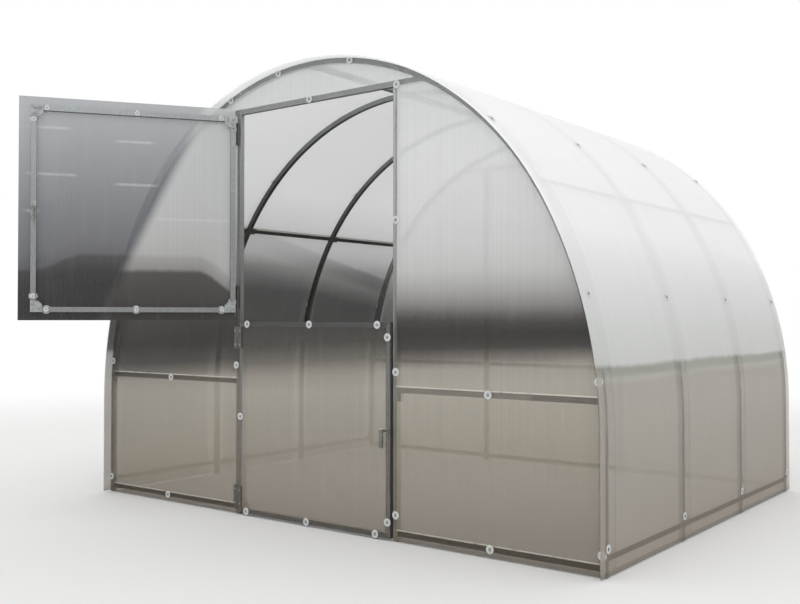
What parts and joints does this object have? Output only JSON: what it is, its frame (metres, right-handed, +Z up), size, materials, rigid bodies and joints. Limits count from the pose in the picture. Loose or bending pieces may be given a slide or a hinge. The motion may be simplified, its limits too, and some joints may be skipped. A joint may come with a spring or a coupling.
{
  "type": "polytunnel greenhouse",
  "caption": "Small polytunnel greenhouse: bent tube arches under a clear twin-wall sheet, framed end walls and a split front door with its upper leaf open.",
  "frame": {"origin": "middle of the foot of the front left arch leg, on the ground", "axes": "+X to the right along the front wall, +Y into the depth of the tunnel, +Z up"},
  "size_m": [2.508, 2.6572, 1.81],
  "materials": {
    "galvanised_tube": "galvanised, dull, faint spangle",
    "zinc_plate": "zinc plated, satin",
    "latch_rod": "bare bent rod, dulled by weather",
    "clear_sheet": "clear twin-wall sheet with fine upright flutes",
    "washer_plastic": "milky moulded washers"
  },
  "bodies": {
    "tunnel": {"front_arch": "galvanised_tube", "second_arch": "galvanised_tube", "third_arch": "galvanised_tube", "back_arch": "galvanised_tube", "ridge_purlin": "galvanised_tube", "left_purlin": "galvanised_tube", "right_purlin": "galvanised_tube", "left_base_rail": "galvanised_tube", "right_base_rail": "galvanised_tube", "hinge_post": "galvanised_tube", "latch_post": "galvanised_tube", "front_lintel": "galvanised_tube", "front_left_mid_rail": "galvanised_tube", "front_right_mid_rail": "galvanised_tube", "front_left_base_rail": "galvanised_tube", "front_right_base_rail": "galvanised_tube", "back_left_post": "galvanised_tube", "back_right_post": "galvanised_tube", "back_lintel": "galvanised_tube", "back_mid_rails": "galvanised_tube", "back_base_rails": "galvanised_tube", "purlin_joint_plates": "zinc_plate", "front_brackets": "zinc_plate", "back_brackets": "zinc_plate", "cover_sheet": "clear_sheet", "front_left_sheet": "clear_sheet", "front_right_sheet": "clear_sheet", "front_top_sheet": "clear_sheet", "back_left_sheet": "clear_sheet", "back_middle_sheet": "clear_sheet", "back_right_sheet": "clear_sheet", "post_hinge_plates": "zinc_plate"},
    "upper_leaf": {"upper_leaf_frame": "galvanised_tube", "upper_leaf_sheet": "clear_sheet", "upper_leaf_corner_plates": "zinc_plate", "upper_leaf_hinges": "zinc_plate"},
    "upper_latch": {"upper_leaf_latch": "latch_rod"},
    "lower_leaf": {"lower_leaf_frame": "galvanised_tube", "lower_leaf_sheet": "clear_sheet", "lower_leaf_corner_plates": "zinc_plate", "lower_leaf_hinges": "zinc_plate"},
    "lower_latch": {"lower_leaf_latch": "latch_rod"}
  },
  "joints": [
    {"name": "upper_leaf_hinge", "type": "hinge", "parent": "tunnel", "child": "upper_leaf", "pos_m": [0.852, -0.01975, 1.23], "axis": [0, 0, -1], "range_deg": [-125, 35]},
    {"name": "lower_leaf_hinge", "type": "hinge", "parent": "tunnel", "child": "lower_leaf", "pos_m": [0.852, -0.01975, 0.399], "axis": [0, 0, -1], "range_deg": [0, 160]},
    {"name": "upper_latch_turn", "type": "hinge", "parent": "upper_leaf", "child": "upper_latch", "pos_m": [0.40686, -0.67247, 1.23], "axis": [-0.8192, 0.5736, 0], "range_deg": [0, 90]},
    {"name": "lower_latch_turn", "type": "hinge", "parent": "lower_leaf", "child": "lower_latch", "pos_m": [1.642, -0.01, 0.399], "axis": [0, -1, 0], "range_deg": [0, 90]}
  ]
}
